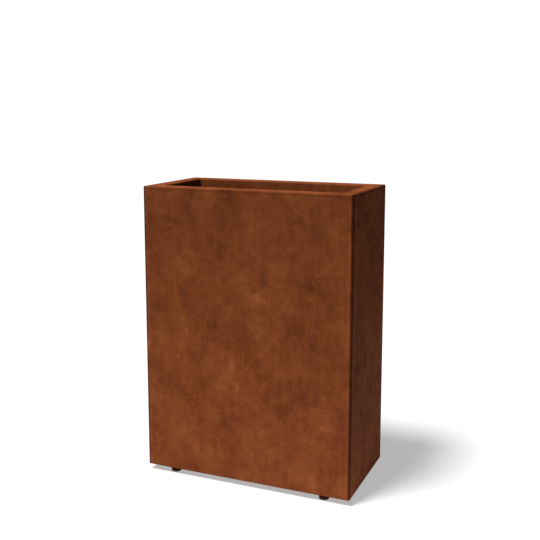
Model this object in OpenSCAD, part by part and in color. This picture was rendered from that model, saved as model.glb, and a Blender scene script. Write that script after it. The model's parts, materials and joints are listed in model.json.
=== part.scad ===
// Tall planter box of folded weathering steel, standing on four screw-down levelling feet.
// Origin: on the ground, under the middle of the box. The front looks towards -Y, +Z is up.
// Four mitred panels are welded into the box. A floor pan stands on their bottom flanges.

/* [Box] */
// Width of the box, along its long face
box_w = 600; // [480:10:900]
// Depth of the box, from front to back
box_d = 300; // [260:10:500]
// Height of the steel box, without its feet
box_h = 800; // [300:10:1000]
// Thickness of the steel sheet
sheet = 2; // [1.5:0.5:3]
// Outside radius of the folds and of the ground corners
fold_r = 4; // [3.5:0.5:6]

/* [Rim] */
// Width of the flat rim, seen from above
rim_w = 40; // [25:1:70]
// Height of the lip folded down from the rim's inner edge
lip_h = 40; // [15:1:80]

/* [Floor] */
// Width of the flange folded in under each wall
flange_w = 45; // [40:1:60]
// Height of the floor pan above the bottom flanges
pan_h = 25; // [25:1:60]
// Gap that keeps the floor pan and its ribs clear of the folds round them
pan_gap = 0.5; // [0.2:0.1:2]
// Diameter of the drain holes
drain_d = 22; // [10:1:40]
// Distance between the drain holes along the long face
drain_pitch_x = 400; // [300:10:420]
// Distance between the drain holes from front to back
drain_pitch_y = 120; // [60:10:160]
// Width of the ribs under the floor
rib_w = 40; // [20:1:60]
// Distance between the two ribs
rib_pitch = 200; // [80:10:240]

/* [Wall stiffeners] */
// Width of a stiffener's raised middle
stiffener_w = 30; // [15:1:60]
// Width of the strip on each side that is welded to the wall
stiffener_foot_w = 15; // [10:1:30]
// Depth of a stiffener, measured off the wall
stiffener_d = 15; // [12:1:30]

/* [Feet] */
// Distance from the end faces of the box to a foot's axis
foot_inset_x = 77; // [40:1:140]
// Distance from the front or back face of the box to a foot's axis
foot_inset_y = 23; // [18:1:28]
// Diameter of the foot pad
pad_d = 28; // [24:1:50]
// Height of the foot pad
pad_h = 8; // [7:0.5:20]
// Rounding of the pad's lower edge
pad_edge_r = 2.5; // [0.5:0.5:3]
// Nominal diameter of the screw stem
stem_d = 8; // [6:1:8]
// How far one turn of the stem moves the foot
thread_pitch = 1.25; // [0.75:0.25:1.25]
// Full turns between the foot's stops
foot_turns = 10; // [1:1:12]
// Height of the hexagon that turns the stem
collar_h = 3; // [2.5:0.5:6]
// Distance across the flats of the hexagon and of the lock nut
hex_af = 13; // [13:0.5:16]
// Height of the lock nut
lock_nut_h = 4; // [3:0.5:6]
// Distance across the flats of the weld nut
weld_nut_af = 14; // [14:0.5:18]
// Height of the weld nut above the flange
weld_nut_h = 6.5; // [5:0.5:9]
// Thickness of the ring that holds the pad on its stem
ring_t = 0.8; // [0.6:0.1:1]
// Outside diameter of the ring
ring_d = 11; // [10:0.5:13]
// Radial gap between a turning shaft and its hole
running_gap = 0.05; // [0.02:0.01:0.1]
// Gap between the flat faces of a foot's moving pieces
face_gap = 0.2; // [0.1:0.1:0.5]

/* [Hidden] */
$fn = 64;
sliver = 0.01;
half_w = box_w / 2;
half_d = box_d / 2;

// Heights, counted up from the ground
base_z = pad_h + collar_h + lock_nut_h;
flange_top_z = base_z + sheet;
floor_top_z = flange_top_z + pan_h;
top_z = base_z + box_h;

// Screw stem: it stays in the whole weld nut when the foot is screwed right down
foot_travel = foot_turns * thread_pitch;
stem_top_z = flange_top_z + weld_nut_h + foot_travel + 1;
journal_d = stem_d - 2;
groove_d = journal_d - 1.2;
pad_web_z = 3;
ring_z = pad_web_z - face_gap - ring_t;
ring_recess_d = ring_d + 5;
stem_bottom_z = ring_z - 1;
pilot_d = stem_d + 2.5;
pilot_hole_d = pilot_d + 0.3;

// Floor pan and what stands under or beside it
pan_w = box_w - 2 * (fold_r + pan_gap);
pan_d = box_d - 2 * (fold_r + pan_gap);
rib_length = pan_d - 2 * (fold_r + pan_gap);

// Feet: the end of the node's name, the side in X and the side in Y
CORNERS = [["front_left", -1, -1], ["front_right", 1, -1], ["back_left", -1, 1], ["back_right", 1, 1]];
FOOT_PARTS = ["foot_pad", "foot_stem", "foot_ring", "lock_nut", "weld_nut"];

// ---- Shared shapes ----

// Sheet folded at right angles. The path runs along the middle of the sheet's section, in X
// and Y, and the sheet is drawn out along Z.
module folded_sheet(path, length) {
    last = len(path) - 1;
    mid_r = fold_r - sheet / 2;
    heading = [for (i = [0 : last - 1]) (path[i + 1] - path[i]) / norm(path[i + 1] - path[i])];
    for (i = [0 : last - 1]) {
        along = heading[i];
        across = [-along[1], along[0]] * sheet / 2;
        start = path[i] + along * (i == 0 ? 0 : mid_r);
        end = path[i + 1] - along * (i == last - 1 ? 0 : mid_r);
        linear_extrude(length)
            polygon([start + across, end + across, end - across, start - across]);
    }
    for (i = [1 : last - 1]) {
        before = heading[i - 1];
        after = heading[i];
        centre = path[i] + (after - before) * mid_r;
        linear_extrude(length) intersection() {
            translate(centre) difference() {
                circle(fold_r);
                circle(fold_r - sheet);
            }
            polygon([
                centre,
                centre - after * fold_r,
                centre + (before - after) * fold_r,
                centre + before * fold_r
            ]);
        }
    }
}

// A folded sheet with its section in Y and Z, drawn out along X to both sides of the middle
module folded_along_x(path, length) {
    translate([-length / 2, 0, 0])
        rotate([90, 0, 90])
            folded_sheet(path, length);
}

module rounded_block(w, d, h, r) {
    linear_extrude(h) {
        square([w - 2 * r, d], center = true);
        square([w, d - 2 * r], center = true);
        for (x = [-1, 1], y = [-1, 1])
            translate([x * (w / 2 - r), y * (d / 2 - r)])
                circle(r);
    }
}

// Hexagonal prism with its flats facing along Y
module hexagon(flats, h) {
    cylinder(h, d = flats / cos(30), $fn = 6);
}

// Hexagonal nut with a round bore for the stem
module plain_nut(flats, h) {
    difference() {
        hexagon(flats, h);
        translate([0, 0, -sliver])
            cylinder(h + 2 * sliver, d = stem_d + 2 * running_gap);
    }
}

// Moves its children to the axis of one foot, or of a mirrored corner
module at_foot(corner) {
    translate([corner[1] * (half_w - foot_inset_x), corner[2] * (half_d - foot_inset_y), 0])
        children();
}

// ---- Box ----

// One wall that looks towards -Y, mitred at both ends: wall, rim, lip and bottom flange
module wall_panel(length, span) {
    half = length / 2;
    outer_y = -span / 2;
    mitre = max(rim_w, flange_w) + sheet;
    mid = sheet / 2;
    path = [
        [outer_y + rim_w - mid, top_z - lip_h],
        [outer_y + rim_w - mid, top_z - mid],
        [outer_y + mid, top_z - mid],
        [outer_y + mid, base_z + mid],
        [outer_y + flange_w, base_z + mid]
    ];
    intersection() {
        folded_along_x(path, length);
        linear_extrude(top_z + 1)
            polygon([
                [-half, outer_y],
                [half, outer_y],
                [half - mitre, outer_y + mitre],
                [mitre - half, outer_y + mitre]
            ]);
        rounded_block(length, span, top_z + 1, fold_r);
    }
}

// A long panel also has the two holes that the feet's weld nuts sit in
module long_panel(side) {
    difference() {
        rotate([0, 0, side < 0 ? 0 : 180])
            wall_panel(box_w, box_d);
        for (corner = CORNERS)
            if (corner[2] == side)
                at_foot(corner)
                    cylinder(flange_top_z + 1, d = pilot_hole_d);
    }
}

module front_panel() {
    color("#6e391f")
        long_panel(-1);
}

module back_panel() {
    color("#6e391f")
        long_panel(1);
}

module left_end_panel() {
    color("#5a2e1b")
        rotate([0, 0, -90])
            wall_panel(box_d, box_w);
}

module right_end_panel() {
    color("#5a2e1b")
        rotate([0, 0, 90])
            wall_panel(box_d, box_w);
}

// Top-hat section that stands on the floor pan against a long wall, up to the fold of the rim
module wall_stiffener() {
    mid = sheet / 2;
    wall_y = half_d - sheet;
    foot_y = wall_y - mid;
    crown_y = wall_y - stiffener_d + mid;
    edge_x = stiffener_w / 2 - mid;
    end_x = stiffener_w / 2 + stiffener_foot_w;
    path = [
        [-end_x, foot_y],
        [-edge_x, foot_y],
        [-edge_x, crown_y],
        [edge_x, crown_y],
        [edge_x, foot_y],
        [end_x, foot_y]
    ];
    translate([0, 0, floor_top_z])
        folded_sheet(path, top_z - fold_r - floor_top_z);
}

module front_stiffener() {
    color("#5a2e1b")
        mirror([0, 1, 0])
            wall_stiffener();
}

module back_stiffener() {
    color("#5a2e1b")
        wall_stiffener();
}

// ---- Floor ----

// One pair of opposite edges of the pan, folded down, with the plate between them
module pan_strip(across, length) {
    edge_y = (across - sheet) / 2;
    plate_z = floor_top_z - sheet / 2;
    folded_along_x([
        [-edge_y, flange_top_z],
        [-edge_y, plate_z],
        [edge_y, plate_z],
        [edge_y, flange_top_z]
    ], length);
}

module floor_pan() {
    notch = fold_r + sheet;
    color("#4e2a1a") difference() {
        union() {
            pan_strip(pan_d, pan_w - 2 * notch);
            rotate([0, 0, 90])
                pan_strip(pan_w, pan_d - 2 * notch);
        }
        for (x = [-1, 1], y = [-1, 1])
            translate([x * drain_pitch_x / 2, y * drain_pitch_y / 2, flange_top_z])
                cylinder(pan_h + 1, d = drain_d);
    }
}

// Channel that stands on the bottom flanges and carries the middle of the pan
module floor_rib(side) {
    edge_y = (rib_w - sheet) / 2;
    plate_z = floor_top_z - sheet * 1.5;
    translate([side * rib_pitch / 2, 0, 0])
        rotate([0, 0, 90])
            folded_along_x([
                [-edge_y, flange_top_z],
                [-edge_y, plate_z],
                [edge_y, plate_z],
                [edge_y, flange_top_z]
            ], rib_length);
}

module left_floor_rib() {
    color("#4e2a1a")
        floor_rib(-1);
}

module right_floor_rib() {
    color("#4e2a1a")
        floor_rib(1);
}

// ---- Feet ----

// Turned pad with a rounded lower edge, a bore for the stem and a recess for the ring
module foot_pad() {
    pad_r = pad_d / 2;
    bevel = 0.5;
    color("#3a1c10")
        rotate_extrude() difference() {
            union() {
                square([pad_r - pad_edge_r, pad_h]);
                translate([0, pad_edge_r])
                    square([pad_r - bevel, pad_h - pad_edge_r]);
                translate([0, pad_edge_r])
                    square([pad_r, pad_h - pad_edge_r - bevel]);
                translate([pad_r - bevel, pad_h - bevel])
                    polygon([[0, 0], [bevel, 0], [0, bevel]]);
                intersection() {
                    translate([pad_r - pad_edge_r, pad_edge_r])
                        circle(pad_edge_r);
                    square([pad_r, pad_edge_r]);
                }
            }
            translate([-sliver, -sliver])
                square([journal_d / 2 + running_gap + sliver, pad_h + 2 * sliver]);
            translate([-sliver, -sliver])
                square([ring_recess_d / 2 + sliver, pad_web_z + sliver]);
        }
}

// Screw stem: a thread in the weld nut, a hexagon for the spanner, a journal in the pad
module foot_stem() {
    tip = 1;
    color("#5b5550") {
        translate([0, 0, pad_h + face_gap])
            hexagon(hex_af, collar_h - 2 * face_gap);
        rotate_extrude() polygon([
            [0, stem_bottom_z],
            [journal_d / 2, stem_bottom_z],
            [journal_d / 2, ring_z],
            [groove_d / 2, ring_z],
            [groove_d / 2, ring_z + ring_t],
            [journal_d / 2, ring_z + ring_t],
            [journal_d / 2, pad_h + face_gap],
            [stem_d / 2, pad_h + face_gap],
            [stem_d / 2, stem_top_z - tip],
            [stem_d / 2 - tip, stem_top_z],
            [0, stem_top_z]
        ]);
    }
}

// Open retaining ring in the stem's groove, under the web of the pad
module foot_ring() {
    mouth = groove_d * 0.8;
    color("#77716a")
        translate([0, 0, ring_z]) difference() {
            cylinder(ring_t, d = ring_d);
            translate([0, 0, -sliver])
                cylinder(ring_t + 2 * sliver, d = groove_d);
            translate([0, -mouth / 2, -sliver])
                cube([ring_d, mouth, ring_t + 2 * sliver]);
        }
}

module lock_nut() {
    color("#5b5550")
        translate([0, 0, pad_h + collar_h])
            plain_nut(hex_af, lock_nut_h);
}

// Weld nut on top of the flange, with a round pilot that centres it in the flange's hole
module weld_nut() {
    color("#5b5550") difference() {
        union() {
            translate([0, 0, flange_top_z])
                hexagon(weld_nut_af, weld_nut_h);
            translate([0, 0, base_z + 0.5])
                cylinder(sheet, d = pilot_d);
        }
        translate([0, 0, base_z])
            cylinder(sheet + weld_nut_h + 1, d = stem_d + 2 * running_gap);
    }
}

front_panel();
back_panel();
left_end_panel();
right_end_panel();
front_stiffener();
back_stiffener();
floor_pan();
left_floor_rib();
right_floor_rib();
for (corner = CORNERS) {
    at_foot(corner) foot_pad();
    at_foot(corner) foot_stem();
    at_foot(corner) foot_ring();
    at_foot(corner) lock_nut();
    at_foot(corner) weld_nut();
}
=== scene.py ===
"""Looks of the tall weathering-steel planter box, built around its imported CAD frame.

Every length is in metres and every place is in the CAD frame: the ground under the middle of
the box is the origin, the front looks towards -Y and +Z is up.
"""

import json
import math

import bmesh
import bpy
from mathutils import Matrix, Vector

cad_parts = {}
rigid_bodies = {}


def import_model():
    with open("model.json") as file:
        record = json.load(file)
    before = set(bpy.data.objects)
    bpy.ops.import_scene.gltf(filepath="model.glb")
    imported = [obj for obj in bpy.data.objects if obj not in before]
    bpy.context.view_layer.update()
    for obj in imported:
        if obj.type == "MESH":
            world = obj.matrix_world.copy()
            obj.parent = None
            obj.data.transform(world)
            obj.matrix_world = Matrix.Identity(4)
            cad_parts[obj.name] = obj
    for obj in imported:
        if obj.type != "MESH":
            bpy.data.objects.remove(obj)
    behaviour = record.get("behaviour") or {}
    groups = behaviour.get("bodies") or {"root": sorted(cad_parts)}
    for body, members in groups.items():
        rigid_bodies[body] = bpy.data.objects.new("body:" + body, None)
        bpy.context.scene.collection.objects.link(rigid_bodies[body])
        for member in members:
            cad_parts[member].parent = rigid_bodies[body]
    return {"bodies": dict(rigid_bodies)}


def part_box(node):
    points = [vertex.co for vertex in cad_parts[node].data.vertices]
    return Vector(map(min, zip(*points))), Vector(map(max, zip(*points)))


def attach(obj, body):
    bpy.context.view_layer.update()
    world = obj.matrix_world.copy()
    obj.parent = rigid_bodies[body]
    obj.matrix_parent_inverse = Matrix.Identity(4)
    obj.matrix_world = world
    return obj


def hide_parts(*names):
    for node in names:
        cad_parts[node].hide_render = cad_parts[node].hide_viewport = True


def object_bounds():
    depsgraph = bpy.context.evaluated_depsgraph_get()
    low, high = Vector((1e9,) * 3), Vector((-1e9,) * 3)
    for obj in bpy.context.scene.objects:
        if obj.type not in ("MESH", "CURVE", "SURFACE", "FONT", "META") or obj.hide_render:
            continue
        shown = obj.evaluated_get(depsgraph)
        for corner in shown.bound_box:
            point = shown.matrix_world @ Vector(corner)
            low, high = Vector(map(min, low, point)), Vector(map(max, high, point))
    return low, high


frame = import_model()
cad_low, cad_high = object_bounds()

# Sheet metal
SHEET = 0.002
FOLD = 0.004
FOLD_STEPS = 8
RIM_WIDTH = 0.040
LIP_HEIGHT = 0.040
FLANGE_WIDTH = 0.045
PAN_NOTCH = 0.006
PILOT_HOLE = 0.0108
CROWN_WIDTH = 0.030
STITCH_LENGTH = 0.025
STITCH_HEIGHTS = (0.12, 0.27, 0.42, 0.57, 0.72)
DRAIN_HOLE = 0.022
DRAIN_PLACES = ((-0.2, -0.06), (0.2, -0.06), (-0.2, 0.06), (0.2, 0.06))

# Floor pan and welds
DRAIN_EDGE = 0.0004
STITCH_WIDTH = 0.0042
CORNER_WELD_WIDTH = 0.005
RIPPLE = 0.0025
RIPPLE_WAIST = 0.78

# Foot pad
PAD_RADIUS = 0.0140
PAD_TOP = 0.0080
PAD_EDGE = 0.0025
PAD_EDGE_STEPS = 8
PAD_BORE = 0.00305
RECESS_RADIUS = 0.0080
RECESS_TOP = 0.0030

# Retaining clip, and the groove in the screw that it sits in
CLIP_LOW = 0.0020
CLIP_HIGH = 0.0028
CLIP_OUTER = 0.0055
CLIP_INNER = 0.0035
CLIP_EDGE = 0.0001
CLIP_GRIP = 0.00242
CLIP_MOUTH = 0.0019
GROOVE = 0.0024

# Foot screw
PITCH = 0.00125
CREST = 0.0040
ROOT = 0.00333
JOURNAL = 0.0030
JOURNAL_LOW = 0.0010
JOURNAL_CHAMFER = 0.0003
JOURNAL_TOP = 0.0084
SPANNER_FLATS = 0.013
COLLAR_LOW = 0.0082
COLLAR_HIGH = 0.0108
THREAD_LOW = 0.0107
THREAD_TOP = 0.0370
THREAD_POINT = 0.0029
POINT_RADIUS = 0.0031

# Nuts
NUT_BORE = 0.00405
BORE_SINK = 0.0004
LOCK_NUT_LOW = 0.011
LOCK_NUT_HIGH = 0.015
WELD_NUT_FLATS = 0.014
WELD_NUT_LOW = 0.017
WELD_NUT_HIGH = 0.0235
PILOT_LOW = 0.0155
PILOT_RADIUS = 0.00525
WELD_SPOT = 0.0022
WELD_SPOT_PLACE = 0.0070

# Camera
CAMERA_PLACE = (0.9015, -2.1057, 1.0337)
CAMERA_TURN = math.radians(22.872)
CAMERA_DIP = math.radians(8.359)
CAMERA_LENS = 55.563
CAMERA_SHIFT_DOWN = 0.079

# Light
KEY_FROM = (-0.24, -0.35, 1.0)
KEY_STRENGTH = 5.5
KEY_SOFTNESS = math.radians(16)
SKY_STRENGTH = 0.13
FLOOR_RADIUS = 1.3
FLOOR_GLOW = 0.42

# Points nearer than these are one point, and how far a cutting tool reaches past what it cuts
WELD_GAP = 5e-7
TURNED_GAP = 1e-6
PAST = 0.001

CORNERS = ("front_left", "front_right", "back_left", "back_right")


# ---- Handling objects and meshes ----

def only(piece):
    """Selects one object and nothing else, and makes it the active one."""
    bpy.ops.object.select_all(action="DESELECT")
    piece.select_set(True)
    bpy.context.view_layer.objects.active = piece


def start_piece(name):
    """Names the object that an operator has just added."""
    piece = bpy.context.active_object
    piece.name = name
    piece.data.name = name
    return piece


def settle(piece):
    """Moves the object's place, turn and size into its mesh."""
    only(piece)
    bpy.ops.object.transform_apply(location=True, rotation=True, scale=True)


def open_mesh(piece):
    """Goes into edit mode on one piece with nothing selected."""
    only(piece)
    bpy.ops.object.mode_set(mode="EDIT")
    bpy.ops.mesh.select_all(action="DESELECT")


def close_mesh():
    """Goes back out of edit mode."""
    bpy.ops.object.mode_set(mode="OBJECT")


def pick_faces(piece, wanted):
    """Selects, in edit mode, just the faces for which wanted(centre, normal) is true."""
    bpy.ops.mesh.select_all(action="DESELECT")
    bpy.ops.mesh.select_mode(type="FACE")
    mesh = bmesh.from_edit_mesh(piece.data)
    for face in mesh.faces:
        face.select_set(bool(wanted(face.calc_center_median(), face.normal)))
    bmesh.update_edit_mesh(piece.data)


def pick_edges(piece, wanted):
    """Selects, in edit mode, just the edges for which wanted(one end, other end) is true."""
    bpy.ops.mesh.select_all(action="DESELECT")
    bpy.ops.mesh.select_mode(type="EDGE")
    mesh = bmesh.from_edit_mesh(piece.data)
    for edge in mesh.edges:
        if wanted(edge.verts[0].co, edge.verts[1].co):
            edge.select_set(True)
    bmesh.update_edit_mesh(piece.data)


def near(a, b):
    """Whether two lengths are the same to a hundredth of a millimetre."""
    return abs(a - b) < 1e-5


def block(name, low, high):
    """A box between two corners, with its place in its mesh."""
    low, high = Vector(low), Vector(high)
    bpy.ops.object.select_all(action="DESELECT")
    bpy.ops.mesh.primitive_cube_add(size=1, location=(low + high) / 2)
    piece = start_piece(name)
    piece.scale = high - low
    settle(piece)
    return piece


def rod(name, radius, low, high, sides=32, turn=0.0):
    """An upright rod with many sides, or a hexagon with six."""
    bpy.ops.object.select_all(action="DESELECT")
    middle = (Vector(low) + Vector(high)) / 2
    bpy.ops.mesh.primitive_cylinder_add(
        vertices=sides,
        radius=radius,
        depth=high[2] - low[2],
        location=middle,
        rotation=(0, 0, turn),
    )
    piece = start_piece(name)
    settle(piece)
    return piece


def copy_of(piece, name, move=(0, 0, 0), turn=(0, 0, 0)):
    """A copy with its own mesh, turned about the origin and then moved."""
    only(piece)
    bpy.ops.object.duplicate()
    copy = start_piece(name)
    copy.location = move
    copy.rotation_euler = turn
    settle(copy)
    return copy


def apply_modifier(piece, kind, **settings):
    """Adds one modifier with its settings and makes it part of the mesh."""
    only(piece)
    bpy.ops.object.modifier_add(type=kind)
    modifier = piece.modifiers[-1]
    for key, value in settings.items():
        setattr(modifier, key, value)
    bpy.ops.object.modifier_apply(modifier=modifier.name)


def combine(piece, tool, operation="DIFFERENCE"):
    """Cuts the tool out of the piece, or keeps what they share, and throws the tool away."""
    apply_modifier(piece, "BOOLEAN", operation=operation, object=tool, solver="EXACT")
    remove(tool)
    open_mesh(piece)
    bpy.ops.mesh.select_all(action="SELECT")
    bpy.ops.mesh.remove_doubles(threshold=WELD_GAP)
    bpy.ops.mesh.dissolve_degenerate(threshold=WELD_GAP)
    close_mesh()


def join(name, parts):
    """Makes several objects one piece."""
    bpy.ops.object.select_all(action="DESELECT")
    for part in parts:
        part.select_set(True)
    bpy.context.view_layer.objects.active = parts[0]
    bpy.ops.object.join()
    return start_piece(name)


def smooth(piece, degrees=35):
    """Smooth shading in the rounds, with flat faces kept flat."""
    only(piece)
    bpy.ops.object.shade_smooth_by_angle(angle=math.radians(degrees))
    apply_modifier(piece, "WEIGHTED_NORMAL", keep_sharp=True, weight=100)


def remove(piece):
    """Deletes an object that has done its work."""
    bpy.data.objects.remove(piece)


def chain(name, points):
    """A line of edges through the points, drawn corner by corner and left open in edit mode."""
    bpy.ops.object.select_all(action="DESELECT")
    bpy.ops.mesh.primitive_plane_add(size=0.001, location=points[0])
    piece = start_piece(name)
    settle(piece)
    open_mesh(piece)
    bpy.ops.mesh.select_mode(type="VERT")
    bpy.ops.mesh.select_all(action="SELECT")
    bpy.ops.mesh.merge(type="CENTER")
    for start, end in zip(points, points[1:]):
        step = Vector(end) - Vector(start)
        bpy.ops.mesh.extrude_region_move(TRANSFORM_OT_translate={"value": step})
    return piece


def turned(name, outline, steps=64):
    """A turned shape around Z at the origin. outline holds its radius and height pairs."""
    piece = chain(name, [(radius, 0, height) for radius, height in outline])
    bpy.ops.mesh.select_all(action="SELECT")
    bpy.ops.mesh.spin(steps=steps, angle=2 * math.pi, center=(0, 0, 0), axis=(0, 0, 1))
    bpy.ops.mesh.select_all(action="SELECT")
    bpy.ops.mesh.remove_doubles(threshold=TURNED_GAP)
    bpy.ops.mesh.normals_make_consistent(inside=False)
    close_mesh()
    return piece


# ---- Box ----

def folded_shell():
    """The whole sheet-metal box in one skin: walls, rim, lip and bottom flange."""
    low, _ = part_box("front_panel")
    _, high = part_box("back_panel")
    low.x, high.x = cad_low.x, cad_high.x
    shell = block("shell", low, high)
    lip_x, lip_y = high.x - RIM_WIDTH, high.y - RIM_WIDTH
    open_mesh(shell)
    pick_faces(shell, lambda centre, normal: normal.z > 0.9)
    bpy.ops.mesh.inset(thickness=RIM_WIDTH)
    bpy.ops.mesh.extrude_region_move(TRANSFORM_OT_translate={"value": (0, 0, -LIP_HEIGHT)})
    bpy.ops.mesh.delete(type="FACE")
    pick_faces(shell, lambda centre, normal: normal.z < -0.9)
    bpy.ops.mesh.inset(thickness=FLANGE_WIDTH)
    bpy.ops.mesh.delete(type="FACE")

    def on_outer_fold(a, b):
        level = near(a.z, b.z) and (near(a.z, high.z) or near(a.z, low.z))
        upright = near(a.x, b.x) and near(a.y, b.y)
        at_corner = near(abs(a.x), high.x) and near(abs(a.y), high.y)
        on_end = near(abs(a.x), high.x) and near(a.x, b.x)
        on_front = near(abs(a.y), high.y) and near(a.y, b.y)
        return (level and (on_end or on_front)) or (upright and at_corner)

    def on_lip_fold(a, b):
        level = near(a.z, high.z) and near(b.z, high.z)
        return level and all(abs(v.x) < lip_x + 1e-5 and abs(v.y) < lip_y + 1e-5 for v in (a, b))

    pick_edges(shell, lambda a, b: on_outer_fold(a, b) or on_lip_fold(a, b))
    bpy.ops.mesh.bevel(offset=FOLD, segments=FOLD_STEPS, profile=0.5, affect="EDGES")
    close_mesh()
    apply_modifier(shell, "SOLIDIFY", thickness=SHEET, offset=-1, use_even_offset=True)
    return shell


def give_two_finishes(wall, outer, inner):
    """The outer finish all over, then the inner one on the faces that look into the box."""
    wall.data.materials.clear()
    wall.data.materials.append(outer)
    wall.data.materials.append(inner)
    wall_x, wall_y = cad_high.x - SHEET * 0.8, cad_high.y - SHEET * 0.8
    lip_x, lip_y = cad_high.x - RIM_WIDTH, cad_high.y - RIM_WIDTH
    low_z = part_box("front_panel")[0].z

    def looks_inwards(centre, normal):
        under_rim = centre.z < cad_high.z - SHEET * 0.8
        over_flange = centre.z > low_z + SHEET * 0.8
        in_walls = abs(centre.x) < wall_x and abs(centre.y) < wall_y
        in_mouth = abs(centre.x) < lip_x + SHEET * 0.5 and abs(centre.y) < lip_y + SHEET * 0.5
        return under_rim and over_flange and in_walls and not in_mouth

    open_mesh(wall)
    pick_faces(wall, looks_inwards)
    wall.active_material_index = 1
    bpy.ops.object.material_slot_assign()
    close_mesh()


def cut_wall(shell, name, side):
    """One wall of the shell, cut out along the two mitres. side is the way the wall looks."""
    wall = copy_of(shell, name)
    side = Vector(side)
    along = Vector((-side.y, side.x, 0))
    cuts = [((0, 0, 0), -side)]
    for turn in (-1, 1):
        corner = side + along * turn
        cuts.append(((corner.x * cad_high.x, corner.y * cad_high.y, 0), along * turn - side))
    open_mesh(wall)
    for point, outwards in cuts:
        bpy.ops.mesh.select_all(action="SELECT")
        bpy.ops.mesh.bisect(
            plane_co=point,
            plane_no=outwards,
            use_fill=True,
            clear_outer=True,
            threshold=1e-6,
        )
    close_mesh()
    return wall


def drill_foot_holes(wall, corners):
    """The holes in the bottom flange for the pilots of the weld nuts."""
    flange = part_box("front_panel")[0].z
    for corner in corners:
        x, y = foot_axis(corner)
        drill = rod("drill", PILOT_HOLE / 2, (x, y, flange - 0.01), (x, y, flange + 0.01), 40)
        combine(wall, drill)


def make_stiffener(node):
    """Top-hat section against a long wall, drawn along the middle of its sheet."""
    low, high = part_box(node)
    half = SHEET / 2
    foot_y, crown_y = low.y + half, high.y - half
    if low.y > 0:
        foot_y, crown_y = high.y - half, low.y + half
    web_x = CROWN_WIDTH / 2 - half
    piece = chain(node + "_folded", [
        (low.x, foot_y, low.z),
        (-web_x, foot_y, low.z),
        (-web_x, crown_y, low.z),
        (web_x, crown_y, low.z),
        (web_x, foot_y, low.z),
        (high.x, foot_y, low.z),
    ])
    bpy.ops.mesh.select_all(action="SELECT")
    height = high.z - low.z
    bpy.ops.mesh.extrude_region_move(TRANSFORM_OT_translate={"value": (0, 0, height)})
    pick_edges(piece, lambda a, b: near(a.x, b.x) and near(a.y, b.y) and near(abs(a.x), web_x))
    bpy.ops.mesh.bevel(offset=FOLD - half, segments=FOLD_STEPS, profile=0.5, affect="EDGES")
    close_mesh()
    apply_modifier(piece, "SOLIDIFY", thickness=SHEET, offset=0, use_even_offset=True)
    return piece


def make_pan():
    """The folded floor pan, notched at its corners and drilled for the drain."""
    low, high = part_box("floor_pan")
    pan = block("floor_pan_folded", low, high)
    open_mesh(pan)
    pick_faces(pan, lambda centre, normal: normal.z < -0.9)
    bpy.ops.mesh.delete(type="FACE")
    pick_edges(pan, lambda a, b: near(a.z, high.z) and near(b.z, high.z))
    bpy.ops.mesh.bevel(offset=FOLD, segments=FOLD_STEPS, profile=0.5, affect="EDGES")
    close_mesh()
    apply_modifier(pan, "SOLIDIFY", thickness=SHEET, offset=-1, use_even_offset=True)
    for x in (low.x, high.x):
        for y in (low.y, high.y):
            reach = Vector((PAN_NOTCH, PAN_NOTCH, 0.05))
            middle = Vector((x, y, high.z))
            combine(pan, block("notch", middle - reach, middle + reach))
    for x, y in DRAIN_PLACES:
        drill = rod("drill", DRAIN_HOLE / 2, (x, y, high.z - 0.01), (x, y, high.z + 0.01), 48)
        combine(pan, drill)
    open_mesh(pan)
    pick_edges(pan, lambda a, b: on_drain_rim(a, b, high.z))
    bpy.ops.mesh.bevel(offset=DRAIN_EDGE, segments=2, profile=0.5, affect="EDGES")
    close_mesh()
    return pan


def on_drain_rim(a, b, top):
    """Whether an edge lies round a drain hole, on either face of the pan."""
    if not (near(a.z, b.z) and (near(a.z, top) or near(a.z, top - SHEET))):
        return False
    return any(
        near(math.hypot(a.x - x, a.y - y), DRAIN_HOLE / 2)
        and near(math.hypot(b.x - x, b.y - y), DRAIN_HOLE / 2)
        for x, y in DRAIN_PLACES
    )


def make_rib(node):
    """Channel under the pan, open downwards."""
    low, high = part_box(node)
    rib = block(node + "_folded", low, high)
    open_mesh(rib)
    pick_faces(rib, lambda centre, normal: normal.z < -0.9 or abs(normal.y) > 0.9)
    bpy.ops.mesh.delete(type="FACE")
    pick_edges(rib, lambda a, b: near(a.x, b.x) and near(a.z, high.z) and near(b.z, high.z))
    bpy.ops.mesh.bevel(offset=FOLD, segments=FOLD_STEPS, profile=0.5, affect="EDGES")
    close_mesh()
    apply_modifier(rib, "SOLIDIFY", thickness=SHEET, offset=-1, use_even_offset=True)
    return rib


def weld_bead(name, place, length, width):
    """A round weld bead standing upright on its place, with a ripple every so often."""
    x, y, z = place
    bead = rod(name, width / 2, place, (x, y, z + length), 10)
    open_mesh(bead)
    pick_edges(bead, lambda a, b: near(a.x, b.x) and near(a.y, b.y))
    cuts = 2 * int(length / RIPPLE / 2) + 1
    bpy.ops.mesh.subdivide(number_cuts=cuts)
    gap = length / (cuts + 1)

    def in_ripple(a, b):
        step = round((a.z - z) / gap)
        return near(a.z, b.z) and (step % 2 == 1 or step in (0, cuts + 1))

    pick_edges(bead, in_ripple)
    bpy.ops.transform.resize(value=(RIPPLE_WAIST, RIPPLE_WAIST, 1), center_override=(x, y, z))
    close_mesh()
    return bead


def stitch_welds(name, places, turn=(0, 0, 0)):
    """Short weld beads at the places, in one piece."""
    first = weld_bead("stitch", (0, 0, -STITCH_LENGTH / 2), STITCH_LENGTH, STITCH_WIDTH)
    beads = [copy_of(first, "bead", place, turn) for place in places]
    remove(first)
    welds = join(name, beads)
    smooth(welds, 60)
    return welds


# ---- Feet ----

def foot_axis(corner):
    """Where the upright axis of a foot stands, across and along the box."""
    low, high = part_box("foot_stem_" + corner)
    return (low.x + high.x) / 2, (low.y + high.y) / 2


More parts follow.
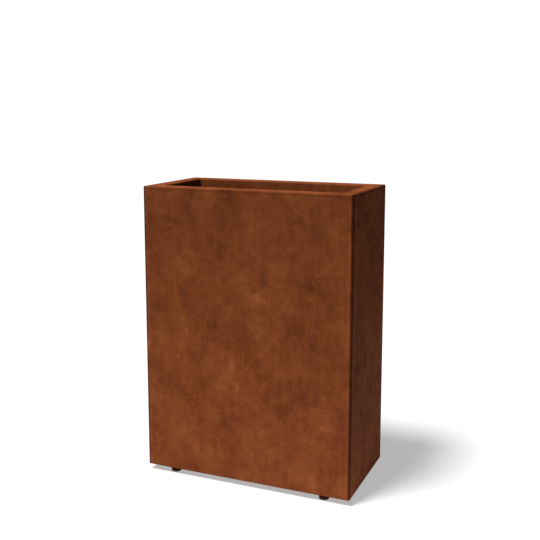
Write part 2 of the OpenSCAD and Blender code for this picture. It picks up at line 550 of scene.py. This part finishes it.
def hexagon(name, flats, low, high, both_ends=True):
    """A hexagon with the corners of its ends turned off at 30 degrees."""
    slope = math.tan(math.pi / 6)
    corner = flats / 2 / math.cos(math.pi / 6)
    face = flats * 0.475
    wide = corner * 1.01
    past = 0.0005
    narrow = face - past / slope
    drop = (wide - face) * slope
    outline = [
        (0, low - past),
        (wide, low - past),
        (wide, high - drop),
        (narrow, high + past),
        (0, high + past),
    ]
    if both_ends:
        outline[1:2] = [(narrow, low - past), (wide, low + drop)]
    piece = rod(name, corner, (0, 0, low), (0, 0, high), 6, math.pi / 2)
    combine(piece, turned("barrel", outline), "INTERSECT")
    return piece


def bore(piece, low, high):
    """A round bore for the screw, countersunk a little at both ends."""
    wide = NUT_BORE + BORE_SINK + PAST
    combine(piece, turned("reamer", [
        (0, low - PAST),
        (wide, low - PAST),
        (NUT_BORE, low + BORE_SINK),
        (NUT_BORE, high - BORE_SINK),
        (wide, high + PAST),
        (0, high + PAST),
    ], 48))


def threaded_length(name, low, high):
    """The screw's thread, cut off square at both ends and pointed at the top."""
    start = low - PITCH
    turns = math.ceil((high - low) / PITCH) + 2
    profile = chain(name, [
        (ROOT, 0, start),
        (ROOT, 0, start + PITCH * 0.22),
        (CREST, 0, start + PITCH * 0.54),
        (CREST, 0, start + PITCH * 0.68),
        (ROOT, 0, start + PITCH),
    ])
    close_mesh()
    apply_modifier(
        profile,
        "SCREW",
        angle=2 * math.pi,
        screw_offset=PITCH,
        iterations=turns,
        steps=36,
        render_steps=36,
    )
    open_mesh(profile)
    bpy.ops.mesh.select_all(action="SELECT")
    bpy.ops.mesh.remove_doubles(threshold=TURNED_GAP)
    for height, way in ((low, -1), (high + 0.0005, 1)):
        bpy.ops.mesh.select_all(action="SELECT")
        bpy.ops.mesh.bisect(
            plane_co=(0, 0, height),
            plane_no=(0, 0, way),
            use_fill=True,
            clear_outer=True,
            threshold=1e-7,
        )
    bpy.ops.mesh.select_all(action="SELECT")
    bpy.ops.mesh.normals_make_consistent(inside=False)
    close_mesh()
    clear = CREST * 1.5
    combine(profile, turned("point", [
        (0, low - PAST),
        (clear, low - PAST),
        (clear, high - THREAD_POINT),
        (POINT_RADIUS, high),
        (0, high),
    ]), "INTERSECT")
    return profile


def make_pad():
    """The turned pad: rounded at the ground, recessed below for the clip, bored for the screw."""
    outline = [
        (PAD_BORE, RECESS_TOP),
        (PAD_BORE, PAD_TOP - 0.0003),
        (PAD_BORE + 0.0003, PAD_TOP),
        (PAD_RADIUS - 0.0005, PAD_TOP),
        (PAD_RADIUS - 0.0003, PAD_TOP - 0.00005),
        (PAD_RADIUS - 0.00005, PAD_TOP - 0.0003),
        (PAD_RADIUS, PAD_TOP - 0.0005),
    ]
    for step in range(PAD_EDGE_STEPS + 1):
        angle = math.pi / 2 * step / PAD_EDGE_STEPS
        out = PAD_RADIUS - PAD_EDGE + PAD_EDGE * math.cos(angle)
        outline.append((out, PAD_EDGE - PAD_EDGE * math.sin(angle)))
    outline += [
        (RECESS_RADIUS + 0.0003, 0),
        (RECESS_RADIUS, 0.0003),
        (RECESS_RADIUS, RECESS_TOP),
        (PAD_BORE, RECESS_TOP),
    ]
    pad = turned("pad", outline, 96)
    smooth(pad)
    return pad


def make_stem():
    """The foot screw: grooved journal, chamfered hexagon and thread."""
    journal = turned("journal", [
        (0, JOURNAL_LOW),
        (JOURNAL - JOURNAL_CHAMFER, JOURNAL_LOW),
        (JOURNAL, JOURNAL_LOW + JOURNAL_CHAMFER),
        (JOURNAL, CLIP_LOW),
        (GROOVE, CLIP_LOW),
        (GROOVE, CLIP_HIGH),
        (JOURNAL, CLIP_HIGH),
        (JOURNAL, JOURNAL_TOP),
        (0, JOURNAL_TOP),
    ], 48)
    collar = hexagon("collar", SPANNER_FLATS, COLLAR_LOW, COLLAR_HIGH)
    thread = threaded_length("thread", THREAD_LOW, THREAD_TOP)
    stem = join("stem", [journal, collar, thread])
    smooth(stem)
    return stem


def make_lock_nut():
    """The thin nut that is tightened up against the flange."""
    nut = hexagon("lock_nut", SPANNER_FLATS, LOCK_NUT_LOW, LOCK_NUT_HIGH)
    bore(nut, LOCK_NUT_LOW, LOCK_NUT_HIGH)
    smooth(nut)
    return nut


def make_weld_nut():
    """The weld nut: hexagon inside the flange, its pilot through it, and three weld spots."""
    nut = hexagon("weld_nut", WELD_NUT_FLATS, WELD_NUT_LOW, WELD_NUT_HIGH, both_ends=False)
    pilot_high = WELD_NUT_LOW + 0.0005
    pilot = turned("pilot", [
        (0, PILOT_LOW),
        (PILOT_RADIUS - 0.00025, PILOT_LOW),
        (PILOT_RADIUS, PILOT_LOW + 0.0003),
        (PILOT_RADIUS, pilot_high),
        (0, pilot_high),
    ], 48)
    combine(nut, pilot, "UNION")
    bore(nut, PILOT_LOW, WELD_NUT_HIGH)
    parts = [nut]
    for turn in (0, 1, 2):
        angle = math.radians(90 + 120 * turn)
        bpy.ops.object.select_all(action="DESELECT")
        bpy.ops.mesh.primitive_uv_sphere_add(
            segments=16,
            ring_count=10,
            radius=WELD_SPOT,
            location=(
                WELD_SPOT_PLACE * math.cos(angle),
                WELD_SPOT_PLACE * math.sin(angle),
                WELD_NUT_LOW + 0.0004,
            ),
            rotation=(0, 0, angle),
        )
        spot = start_piece("weld_spot")
        spot.scale = (0.6, 1.2, 0.6)
        settle(spot)
        open_mesh(spot)
        bpy.ops.mesh.select_all(action="SELECT")
        bpy.ops.mesh.bisect(
            plane_co=(0, 0, WELD_NUT_LOW + 0.00001),
            plane_no=(0, 0, -1),
            use_fill=True,
            clear_outer=True,
        )
        close_mesh()
        parts.append(spot)
    nut = join("weld_nut", parts)
    smooth(nut)
    return nut


def make_ring():
    """The open retaining clip, gripping its groove with three teeth."""
    low, high = CLIP_LOW, CLIP_HIGH
    ring = turned("ring", [
        (CLIP_INNER, low),
        (CLIP_OUTER - CLIP_EDGE, low),
        (CLIP_OUTER, low + CLIP_EDGE),
        (CLIP_OUTER, high - CLIP_EDGE),
        (CLIP_OUTER - CLIP_EDGE, high),
        (CLIP_INNER, high),
        (CLIP_INNER, low),
    ], 48)
    teeth = []
    for degrees in (80, 180, 280):
        angle = math.radians(degrees)
        way = Vector((math.cos(angle), math.sin(angle), 0))
        middle = way * 0.0031 + Vector((0, 0, (low + high) / 2))
        bpy.ops.object.select_all(action="DESELECT")
        bpy.ops.mesh.primitive_cube_add(size=1, location=middle, rotation=(0, 0, angle))
        tooth = start_piece("tooth")
        tooth.scale = (0.0016, 0.0022, high - low - CLIP_EDGE)
        settle(tooth)
        teeth.append(tooth)
    for tooth in teeth:
        combine(ring, tooth, "UNION")
    combine(ring, turned("groove", [
        (0, low - PAST),
        (CLIP_GRIP, low - PAST),
        (CLIP_GRIP, high + PAST),
        (0, high + PAST),
    ]))
    mouth = block("mouth", (0, -CLIP_MOUTH, low - PAST), (RECESS_RADIUS, CLIP_MOUTH, high + PAST))
    combine(ring, mouth)
    smooth(ring)
    return ring


# ---- Finishes ----

def new_finish(name):
    """A material, its node tree, its shader, and the place on the piece that its patterns read."""
    finish = bpy.data.materials.new(name)
    finish.use_nodes = True
    tree = finish.node_tree
    where = tree.nodes.new("ShaderNodeTexCoord").outputs["Object"]
    return finish, tree, tree.nodes["Principled BSDF"], where


def maths(tree, operation, a, b=None):
    """A sum worked out from place to place, of numbers, patterns or both."""
    made = tree.nodes.new("ShaderNodeMath")
    made.operation = operation
    for socket, value in zip(made.inputs, (a, b)):
        if isinstance(value, (int, float)):
            socket.default_value = value
        elif value is not None:
            tree.links.new(value, socket)
    return made.outputs[0]


def placed(tree, where, stretch=(1, 1, 1), shift=(0, 0, 0)):
    """A pattern's place, stretched along the axes and shifted."""
    mapping = tree.nodes.new("ShaderNodeMapping")
    mapping.inputs["Location"].default_value = shift
    mapping.inputs["Scale"].default_value = stretch
    tree.links.new(where, mapping.inputs["Vector"])
    return mapping.outputs[0]


def clouds(tree, where, size, detail=4.0, rough=0.55, warp=0.0):
    """Cloudy noise with blotches about so many metres across."""
    noise = tree.nodes.new("ShaderNodeTexNoise")
    noise.inputs["Scale"].default_value = 1 / size
    noise.inputs["Detail"].default_value = detail
    noise.inputs["Roughness"].default_value = rough
    noise.inputs["Distortion"].default_value = warp
    tree.links.new(where, noise.inputs["Vector"])
    return noise.outputs["Fac"]


def spread(tree, value, low, high):
    """Turns low to high into 0 to 1, softly, and holds what lies outside."""
    ranged = tree.nodes.new("ShaderNodeMapRange")
    ranged.interpolation_type = "SMOOTHSTEP"
    ranged.inputs["From Min"].default_value = low
    ranged.inputs["From Max"].default_value = high
    tree.links.new(value, ranged.inputs["Value"])
    return ranged.outputs[0]


def colours(tree, value, stops):
    """A run of colours, each at its place between 0 and 1."""
    ramp = tree.nodes.new("ShaderNodeValToRGB")
    while len(ramp.color_ramp.elements) < len(stops):
        ramp.color_ramp.elements.new(0.5)
    for element, (place, colour) in zip(ramp.color_ramp.elements, stops):
        element.position = place
        element.color = (*colour, 1)
    tree.links.new(value, ramp.inputs["Fac"])
    return ramp.outputs["Color"]


def tinted(tree, base, colour, amount, mode="MIX"):
    """Lays a colour over the base, as strongly as amount says from place to place."""
    mix = tree.nodes.new("ShaderNodeMix")
    mix.data_type = "RGBA"
    mix.blend_type = mode
    tree.links.new(amount, mix.inputs["Factor"])
    tree.links.new(base, mix.inputs[6])
    mix.inputs[7].default_value = (*colour, 1)
    return mix.outputs[2]


def specks(tree, where, size, low, high):
    """Round specks in a loose scatter: 1 in the middle of each, 0 outside."""
    cells = tree.nodes.new("ShaderNodeTexVoronoi")
    cells.inputs["Scale"].default_value = 1 / size
    tree.links.new(where, cells.inputs["Vector"])
    return spread(tree, cells.outputs["Distance"], high, low)


def add_bump(tree, shader, height, strength, depth):
    """Shades the surface as if a pattern raised it, by up to its depth in metres."""
    bump = tree.nodes.new("ShaderNodeBump")
    bump.inputs["Strength"].default_value = strength
    bump.inputs["Distance"].default_value = depth
    tree.links.new(height, bump.inputs["Height"])
    tree.links.new(bump.outputs["Normal"], shader.inputs["Normal"])


def from_edge(tree, one, one_edge, other, other_edge, share=1.0):
    """How far a point lies from an outer edge, added up along both faces."""
    a = maths(tree, "SUBTRACT", one_edge, maths(tree, "ABSOLUTE", one))
    b = maths(tree, "SUBTRACT", other_edge, maths(tree, "ABSOLUTE", other))
    return maths(tree, "ADD", a, maths(tree, "MULTIPLY", b, share))


def rust_outside():
    """Weathering steel outdoors: a cloudy brown patina, with painted shade along the outer upright corners
    and the rim's folds, and a painted highlight next to the corners.
    """
    finish, tree, shader, where = new_finish("rusted_wall")
    value = cloudy_patina(tree, where)
    small = clouds(tree, placed(tree, where, shift=(3, 1, 2)), 0.030, 6, 0.70, 0.3)
    small = spread(tree, small, 0.28, 0.72)
    fine = spread(tree, clouds(tree, placed(tree, where, shift=(7, 5, 1)), 0.005, 4, 0.7), 0.25, 0.75)
    value = maths(tree, "ADD", value, maths(tree, "MULTIPLY", small, 0.34))
    value = maths(tree, "ADD", value, maths(tree, "MULTIPLY", fine, 0.18))
    base = colours(tree, value, [
        (0.12, (0.106, 0.0240, 0.0080)),
        (0.46, (0.163, 0.0405, 0.0118)),
        (0.74, (0.205, 0.0560, 0.0170)),
        (1.00, (0.262, 0.0820, 0.0260)),
    ])
    base = pits(tree, where, base)
    # Painted shade and a painted highlight along the outer corners and the rim's folds.
    base = painted_edge_shade_and_highlight(tree, where, base)
    tree.links.new(base, shader.inputs["Base Color"])
    shader.inputs["Specular IOR Level"].default_value = 0.05
    rough = maths(tree, "SUBTRACT", 0.92, maths(tree, "MULTIPLY", small, 0.14))
    tree.links.new(rough, shader.inputs["Roughness"])
    height = maths(tree, "ADD", maths(tree, "MULTIPLY", fine, 0.6), small)
    add_bump(tree, shader, height, 0.35, 0.0005)
    return finish


def cloudy_patina(tree, where):
    """The wide pattern of the rust: clouds, run-off streaks, light spots and faint arcs."""
    wide = spread(tree, clouds(tree, placed(tree, where, (1, 1, 0.85)), 0.13, 5, 0.62, 0.5), 0.30, 0.70)
    streaks = placed(tree, where, (1, 1, 0.10), (0.2, 0.4, 0))
    streaks = spread(tree, clouds(tree, streaks, 0.012, 4, 0.6), 0.30, 0.70)
    drips = placed(tree, where, (1, 1, 0.55), (0.3, 0.7, 0.1))
    spots = specks(tree, drips, 0.085, 0.03, 0.12)
    swirl = clouds(tree, placed(tree, where, shift=(1, 9, 4)), 0.11, 1.0, 0.4, 0.8)
    line = spread(tree, maths(tree, "ABSOLUTE", maths(tree, "SUBTRACT", swirl, 0.5)), 0.030, 0.0)
    patch = spread(tree, clouds(tree, placed(tree, where, shift=(5, 2, 8)), 0.09, 2.0), 0.48, 0.62)
    value = maths(tree, "MULTIPLY", wide, 0.40)
    value = maths(tree, "ADD", value, maths(tree, "MULTIPLY", streaks, 0.10))
    value = maths(tree, "ADD", value, maths(tree, "MULTIPLY", spots, 0.30))
    return maths(tree, "ADD", value, maths(tree, "MULTIPLY", maths(tree, "MULTIPLY", line, patch), 0.16))


def pits(tree, where, base):
    """Tiny dark pits in loose clusters high on the ends, and a few bright flakes low down."""
    split = tree.nodes.new("ShaderNodeSeparateXYZ")
    tree.links.new(where, split.inputs[0])
    height = split.outputs["Z"]
    clusters = clouds(tree, placed(tree, where, (1, 1, 0.45), (4, 4, 4)), 0.045, 2.0)
    high_up = spread(tree, height, 0.40, 0.65)
    out = maths(tree, "ABSOLUTE", split.outputs["X"])
    on_end = spread(tree, out, cad_high.x - 0.0006, cad_high.x - 0.0002)
    in_cluster = spread(tree, clusters, 0.50, 0.56)
    dark = maths(tree, "MULTIPLY", specks(tree, where, 0.0080, 0.18, 0.32), in_cluster)
    dark = maths(tree, "MULTIPLY", dark, maths(tree, "MULTIPLY", high_up, on_end))
    base = tinted(tree, base, (0.40, 0.36, 0.36), dark, "MULTIPLY")
    flakes = specks(tree, placed(tree, where, shift=(6, 2, 3)), 0.0085, 0.08, 0.20)
    bright = maths(tree, "MULTIPLY", flakes, spread(tree, clusters, 0.44, 0.38))
    low_down = maths(tree, "SUBTRACT", 1.0, spread(tree, height, 0.20, 0.45))
    return tinted(tree, base, (1.6, 1.8, 1.9), maths(tree, "MULTIPLY", bright, low_down), "MULTIPLY")


def painted_edge_shade_and_highlight(tree, where, base):
    """Painted shade as dark lines along the outer upright corners and the rim's outer folds, and a painted
    highlight in a light strip next to the corners.
    """
    split = tree.nodes.new("ShaderNodeSeparateXYZ")
    tree.links.new(where, split.inputs[0])
    x, y, z = split.outputs
    to_corner = from_edge(tree, x, cad_high.x, y, cad_high.y, 0.6)
    # Painted shade: the mask of a dark line along each outer upright corner.
    weld = spread(tree, to_corner, 0.0066, 0.0042)
    # Painted highlight: the mask of a light strip on the faces next to each outer upright corner.
    past_corner_line = spread(tree, to_corner, 0.007, 0.008)
    corner_highlight = maths(tree, "MULTIPLY", past_corner_line, spread(tree, to_corner, 0.015, 0.010))
    # Painted shade: masks of dark lines along the rim's outer folds over the ends and over the front and
    # back.
    end_fold_shade = spread(tree, from_edge(tree, x, cad_high.x, z, cad_high.z), 0.0085, 0.0050)
    front_fold_shade = spread(tree, from_edge(tree, y, cad_high.y, z, cad_high.z), 0.0120, 0.0060)
    # Painted shade darkens the outer upright corners.
    base = tinted(tree, base, (0.36, 0.33, 0.34), maths(tree, "MULTIPLY", weld, 0.9), "MULTIPLY")
    # Painted highlight lightens the strip next to the corners.
    base = tinted(tree, base, (1.30, 1.32, 1.35), maths(tree, "MULTIPLY", corner_highlight, 0.6), "MULTIPLY")
    # Painted shade darkens the rim's outer folds.
    base = tinted(tree, base, (0.50, 0.48, 0.50), maths(tree, "MULTIPLY", end_fold_shade, 0.8), "MULTIPLY")
    return tinted(tree, base, (0.78, 0.76, 0.78), maths(tree, "MULTIPLY", front_fold_shade, 0.7), "MULTIPLY")


def rust_inside():
    """The same steel inside the box: darker, redder and scaly."""
    finish, tree, shader, where = new_finish("rusted_inside")
    wide = spread(tree, clouds(tree, where, 0.10, 6, 0.65, 0.6), 0.30, 0.70)
    scale = spread(tree, clouds(tree, placed(tree, where, shift=(2, 2, 2)), 0.010, 6, 0.75), 0.30, 0.70)
    value = maths(tree, "ADD", maths(tree, "MULTIPLY", wide, 0.6), maths(tree, "MULTIPLY", scale, 0.4))
    base = colours(tree, value, [
        (0.10, (0.070, 0.0185, 0.0082)),
        (0.55, (0.125, 0.0340, 0.0135)),
        (1.00, (0.185, 0.0580, 0.0220)),
    ])
    tree.links.new(base, shader.inputs["Base Color"])
    shader.inputs["Specular IOR Level"].default_value = 0.1
    shader.inputs["Roughness"].default_value = 0.9
    add_bump(tree, shader, scale, 0.5, 0.0006)
    return finish


def pad_rust_with_painted_shade():
    """Turned steel under a brown skin of rust, coloured far darker than the walls' rust: that darkness is
    painted shade.
    """
    finish, tree, shader, where = new_finish("dark_rust_pad")
    blotch = spread(tree, clouds(tree, where, 0.007, 5, 0.65, 0.4), 0.3, 0.7)
    grooves = spread(tree, clouds(tree, placed(tree, where, (0.02, 0.02, 1)), 0.0005, 2), 0.3, 0.7)
    # Rust browns darkened far below the walls' rust: painted shade on the feet.
    base = colours(tree, blotch, [
        (0.0, (0.026, 0.0068, 0.0030)),
        (0.6, (0.056, 0.0150, 0.0060)),
        (1.0, (0.100, 0.0290, 0.0100)),
    ])
    tree.links.new(base, shader.inputs["Base Color"])
    shader.inputs["Roughness"].default_value = 0.75
    shader.inputs["Specular IOR Level"].default_value = 0.15
    height = maths(tree, "ADD", maths(tree, "MULTIPLY", grooves, 0.5), blotch)
    add_bump(tree, shader, height, 0.4, 0.0002)
    return finish


def screw_steel():
    """Dull screw steel with rust in blotches."""
    finish, tree, shader, where = new_finish("screw_steel")
    blotch = spread(tree, clouds(tree, where, 0.006, 6, 0.7, 0.3), 0.48, 0.66)
    grain = clouds(tree, placed(tree, where, (0.1, 0.1, 1)), 0.0006, 3)
    steel = colours(tree, grain, [(0.3, (0.20, 0.19, 0.175)), (0.7, (0.30, 0.285, 0.265))])
    base = tinted(tree, steel, (0.085, 0.028, 0.012), blotch)
    tree.links.new(base, shader.inputs["Base Color"])
    bare = maths(tree, "SUBTRACT", 0.9, maths(tree, "MULTIPLY", blotch, 0.85))
    tree.links.new(bare, shader.inputs["Metallic"])
    rough = maths(tree, "ADD", 0.42, maths(tree, "MULTIPLY", blotch, 0.38))
    tree.links.new(rough, shader.inputs["Roughness"])
    add_bump(tree, shader, maths(tree, "ADD", grain, blotch), 0.3, 0.0001)
    return finish


def floor_finish():
    """Matt grey, with a glow of its own."""
    finish, tree, shader, where = new_finish("studio_floor")
    grain = clouds(tree, where, 0.4, 3)
    base = colours(tree, grain, [(0.3, (0.39, 0.39, 0.39)), (0.7, (0.41, 0.41, 0.41))])
    tree.links.new(base, shader.inputs["Base Color"])
    shader.inputs["Roughness"].default_value = 0.9
    shader.inputs["Specular IOR Level"].default_value = 0.0
    shader.inputs["Emission Color"].default_value = (1, 1, 1, 1)
    shader.inputs["Emission Strength"].default_value = FLOOR_GLOW
    return finish


def finish_with(piece, finish):
    """Gives a piece one finish all over."""
    piece.data.materials.clear()
    piece.data.materials.append(finish)


# ---- Camera, light and floor ----

def make_camera():
    """The camera, in front of the box and off to its right, looking down a little."""
    bpy.ops.object.camera_add(
        location=CAMERA_PLACE,
        rotation=(math.pi / 2 - CAMERA_DIP, 0, CAMERA_TURN),
    )
    camera = bpy.context.active_object
    camera.name = "camera"
    camera.data.lens = CAMERA_LENS
    camera.data.sensor_width = 36
    camera.data.shift_y = -CAMERA_SHIFT_DOWN
    bpy.context.scene.camera = camera


def make_sun(name, towards, strength, softness):
    """A soft far light that comes from the given side."""
    bpy.ops.object.light_add(type="SUN", location=Vector(towards) * 3)
    sun = bpy.context.active_object
    sun.name = name
    sun.data.energy = strength
    sun.data.angle = softness
    sun.rotation_euler = Vector(towards).to_track_quat("Z", "Y").to_euler()


def make_sky():
    """A white backdrop that lights the planter only weakly."""
    world = bpy.data.worlds.new("studio")
    world.use_nodes = True
    bpy.context.scene.world = world
    tree = world.node_tree
    background = tree.nodes["Background"]
    background.inputs["Color"].default_value = (1, 1, 1, 1)
    seen = tree.nodes.new("ShaderNodeLightPath").outputs["Is Camera Ray"]
    mix = tree.nodes.new("ShaderNodeMapRange")
    mix.inputs["To Min"].default_value = SKY_STRENGTH
    mix.inputs["To Max"].default_value = 1.05
    tree.links.new(seen, mix.inputs["Value"])
    tree.links.new(mix.outputs[0], background.inputs["Strength"])


def make_floor():
    """A pale light table. It stays under the lowest foot when a foot is screwed down."""
    bpy.ops.object.select_all(action="DESELECT")
    bpy.ops.mesh.primitive_circle_add(vertices=96, radius=FLOOR_RADIUS, fill_type="NGON")
    floor = start_piece("floor")
    for corner in CORNERS:
        rule = floor.constraints.new("FLOOR")
        rule.target = frame["bodies"][corner + "_foot"]
        rule.floor_location = "FLOOR_NEGATIVE_Z"
    finish_with(floor, floor_finish())


# ---- Assembly ----

def place(piece, body, slot, *nodes):
    """Puts a finished piece on its body, in place of its CAD nodes. Its slot is not used."""
    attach(piece, body)
    if nodes:
        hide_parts(*nodes)


def make_walls(outer, inner):
    """The four walls, each cut out of one folded shell."""
    shell = folded_shell()
    sides = {
        "front": (0, -1, 0),
        "back": (0, 1, 0),
        "left_end": (-1, 0, 0),
        "right_end": (1, 0, 0),
    }
    for side, way in sides.items():
        wall = cut_wall(shell, side + "_wall", way)
        if side in ("front", "back"):
            drill_foot_holes(wall, [corner for corner in CORNERS if corner.startswith(side)])
        give_two_finishes(wall, outer, inner)
        smooth(wall)
        place(wall, "planter", "rusted_wall", side + "_panel")
    remove(shell)


def make_inner_steel(inner):
    """The floor pan, its ribs and the stiffeners."""
    pan = make_pan()
    place(pan, "planter", "rusted_inside", "floor_pan")
    pieces = [pan]
    for node in ("left_floor_rib", "right_floor_rib"):
        rib = make_rib(node)
        place(rib, "planter", "rusted_inside", node)
        pieces.append(rib)
    for node in ("front_stiffener", "back_stiffener"):
        stiffener = make_stiffener(node)
        place(stiffener, "planter", "rusted_inside", node)
        pieces.append(stiffener)
    for piece in pieces:
        finish_with(piece, inner)
        smooth(piece)


def make_corner_welds(inner):
    """The weld beads inside the four upright corners."""
    floor_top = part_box("floor_pan")[1].z
    length = cad_high.z - FOLD - floor_top - 0.003
    reach_x, reach_y = cad_high.x - FOLD, cad_high.y - FOLD
    for corner in CORNERS:
        x, y = foot_axis(corner)
        spot = (math.copysign(reach_x, x), math.copysign(reach_y, y), floor_top + 0.001)
        bead = weld_bead(corner + "_corner_weld", spot, length, CORNER_WELD_WIDTH)
        smooth(bead, 60)
        finish_with(bead, inner)
        place(bead, "planter", "rusted_inside")


def make_stitch_welds(inner):
    """The short beads along the feet of the stiffeners and round the edge of the floor pan."""
    made = []
    for side, way in (("front", -1), ("back", 1)):
        low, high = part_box(side + "_stiffener")
        wall_y = way * (cad_high.y - SHEET - 0.0004)
        places = [(x, wall_y, z) for x in (low.x, high.x) for z in STITCH_HEIGHTS]
        made.append(stitch_welds(side + "_stiffener_welds", places))
    low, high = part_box("floor_pan")
    seam_z, inset = high.z - 0.0010, 0.0010
    along_x = [(x, y, seam_z) for x in (-0.21, -0.09, 0.09, 0.21) for y in (low.y + inset, high.y - inset)]
    along_y = [(x, y, seam_z) for x in (low.x + inset, high.x - inset) for y in (-0.07, 0.07)]
    made.append(stitch_welds("floor_pan_long_welds", along_x, (0, math.pi / 2, 0)))
    made.append(stitch_welds("floor_pan_end_welds", along_y, (math.pi / 2, 0, 0)))
    for welds in made:
        finish_with(welds, inner)
        place(welds, "planter", "rusted_inside")


def make_feet(pad_finish, steel):
    """Every foot's parts, modelled once and copied to the four corners."""
    made = {
        # The pad's finish holds painted shade: its rust is coloured far darker than the walls.
        "foot_pad": ("turned_pad_", make_pad(), "_foot", "dark_rust_pad", pad_finish),
        "foot_stem": ("foot_screw_", make_stem(), "_screw", "screw_steel", steel),
        "foot_ring": ("retaining_clip_", make_ring(), "_screw", "screw_steel", steel),
        "lock_nut": ("hex_lock_nut_", make_lock_nut(), None, "screw_steel", steel),
        "weld_nut": ("hex_weld_nut_", make_weld_nut(), None, "screw_steel", steel),
    }
    for node, (name, first, body, slot, finish) in made.items():
        for corner in CORNERS:
            x, y = foot_axis(corner)
            piece = copy_of(first, name + corner, (x, y, 0))
            finish_with(piece, finish)
            place(piece, corner + body if body else "planter", slot, node + "_" + corner)
        remove(first)


make_camera()
bpy.context.scene.view_settings.view_transform = "Standard"
make_sky()
make_sun("key", KEY_FROM, KEY_STRENGTH, KEY_SOFTNESS)
make_floor()

outside = rust_outside()
inside = rust_inside()
make_walls(outside, inside)
make_inner_steel(inside)
make_corner_welds(inside)
make_stitch_welds(inside)
make_feet(pad_rust_with_painted_shade(), screw_steel())
